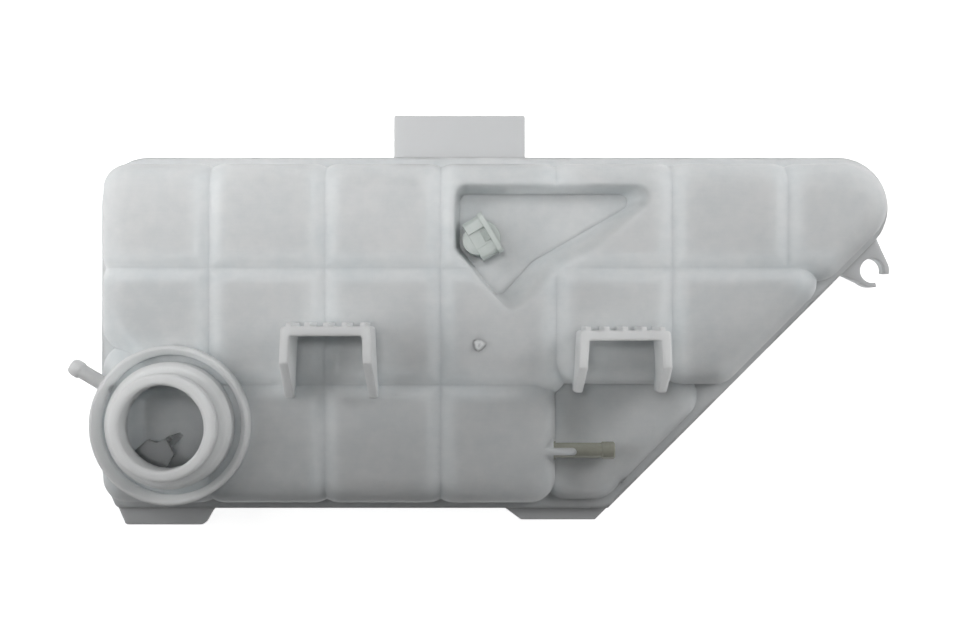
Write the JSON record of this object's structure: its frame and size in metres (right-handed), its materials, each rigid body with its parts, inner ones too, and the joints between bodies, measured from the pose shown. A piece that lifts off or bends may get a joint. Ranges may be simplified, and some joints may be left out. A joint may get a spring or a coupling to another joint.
{
  "type": "coolant expansion tank",
  "caption": "Flat quilted coolant expansion tank of two welded half shells, with an open filler neck in an overflow cup, hood brackets, hose nipples, a hose clip and a float level sensor.",
  "frame": {"origin": "on the rest plane under the rear cells, at the middle of the welded flange's length and of the whole height in plan", "axes": "+X along the long straight edge towards the pointed end, +Y in plan towards the edge with the wide mounting tab, +Z along the filler neck, out of its mouth"},
  "size_m": [0.4012, 0.2046, 0.081],
  "materials": {
    "natural_shell": "natural milky polypropylene, moulded satin",
    "natural_shell_rear": "natural milky polypropylene, moulded satin",
    "tan_insert": "tan-grey glass-filled nylon",
    "sensor_nylon": "natural nylon with a faint green tint",
    "seal_rubber": "black EPDM",
    "contact_brass": "tinned brass",
    "reed_glass": "greenish glass capsule",
    "float_foam": "black closed-cell foam",
    "magnet_ferrite": "pressed ferrite",
    "stop_steel": "stamped stainless steel"
  },
  "bodies": {
    "tank": {"upper_shell": "natural_shell", "lower_shell": "natural_shell_rear", "return_nipple": "tan_insert", "sensor_housing": "sensor_nylon", "sensor_seal": "seal_rubber", "sensor_terminal_left": "contact_brass", "sensor_terminal_right": "contact_brass", "reed_switch": "reed_glass", "float_stop": "stop_steel"},
    "float": {"float": "float_foam", "float_magnet": "magnet_ferrite"}
  },
  "joints": [
    {"name": "float_slide", "type": "slide", "parent": "tank", "child": "float", "axis": [0, 0, 1], "range_m": [0, 0.012]}
  ]
}
